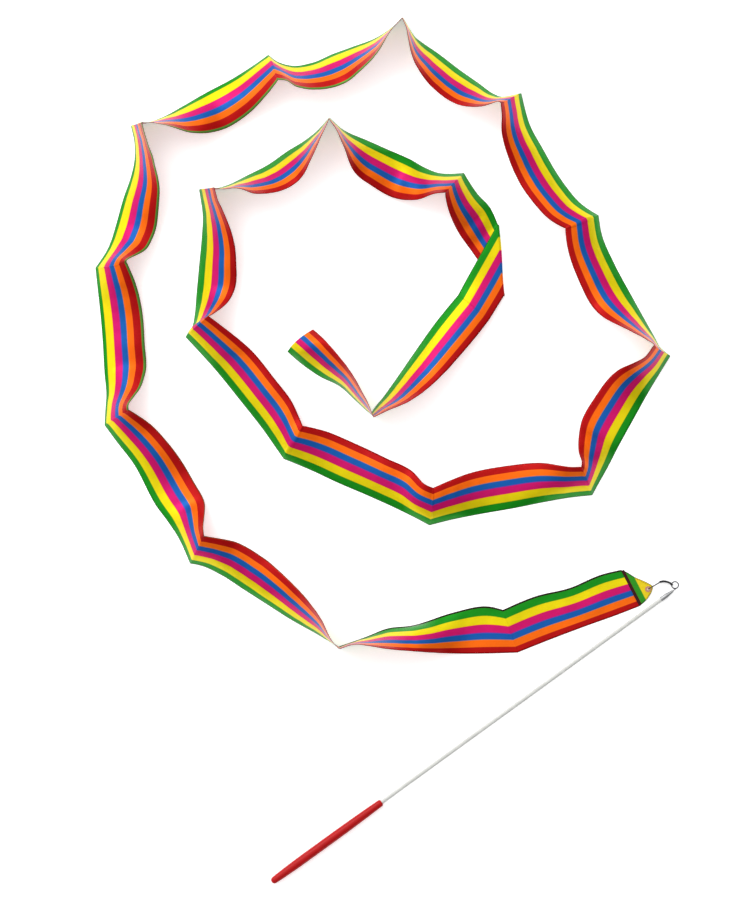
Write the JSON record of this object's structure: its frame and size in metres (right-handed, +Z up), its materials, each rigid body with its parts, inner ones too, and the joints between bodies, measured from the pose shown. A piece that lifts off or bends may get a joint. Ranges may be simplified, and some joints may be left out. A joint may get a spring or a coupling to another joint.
{
  "type": "rhythmic gymnastics ribbon with wand",
  "caption": "Long striped satin ribbon lying in pleated turns on the floor, clipped by a wire clasp and swivel eye to a slim white wand with a red grip.",
  "frame": {"origin": "on the floor, below the middle of the whole layout's box", "axes": "+Z up; the ribbon and the wand lie on the floor, +Y runs away from the grip's end of the layout"},
  "size_m": [0.6419, 0.9522, 0.05],
  "materials": {
    "ribbon_satin": "satin",
    "tab_satin": "satin",
    "hem_band": "satin",
    "thread": "matte",
    "grommet_metal": "polished",
    "clasp_metal": "satin",
    "eye_metal": "polished",
    "ferrule_metal": "satin",
    "rod_white": "satin",
    "grip_red": "glossy"
  },
  "bodies": {
    "ribbon_body": {"ribbon": "ribbon_satin", "ribbon_tab": "tab_satin", "tab_hem": "hem_band", "tab_stitching": "thread", "grommet": "grommet_metal", "grommet_washer": "grommet_metal"},
    "clasp_wire_body": {"clasp_wire": "clasp_metal"},
    "clasp_plate_body": {"clasp_plate": "clasp_metal"},
    "swivel_body": {"swivel_eye": "eye_metal"},
    "wand_body": {"ferrule": "ferrule_metal", "rod": "rod_white", "grip": "grip_red"}
  },
  "joints": [
    {"name": "clasp_lift", "type": "hinge", "parent": "ribbon_body", "child": "clasp_wire_body", "pos_m": [0.28849, -0.15125, 0.0028], "axis": [0.5008, -0.8656, 0], "range_deg": [-25, 25]},
    {"name": "plate_swing", "type": "hinge", "parent": "clasp_wire_body", "child": "clasp_plate_body", "pos_m": [0.3005, -0.1443, 0.0028], "axis": [0, 0, 1], "range_deg": [0, 90]},
    {"name": "eye_swing", "type": "hinge", "parent": "clasp_plate_body", "child": "swivel_body", "pos_m": [0.3162, -0.148, 0.0028], "axis": [0, 0, 1], "range_deg": [0, 120]},
    {"name": "wand_spin", "type": "hinge", "parent": "swivel_body", "child": "wand_body", "pos_m": [0.31115, -0.15636, 0.00284], "axis": [0.8095, 0.5871, -0.0047], "continuous": true}
  ]
}
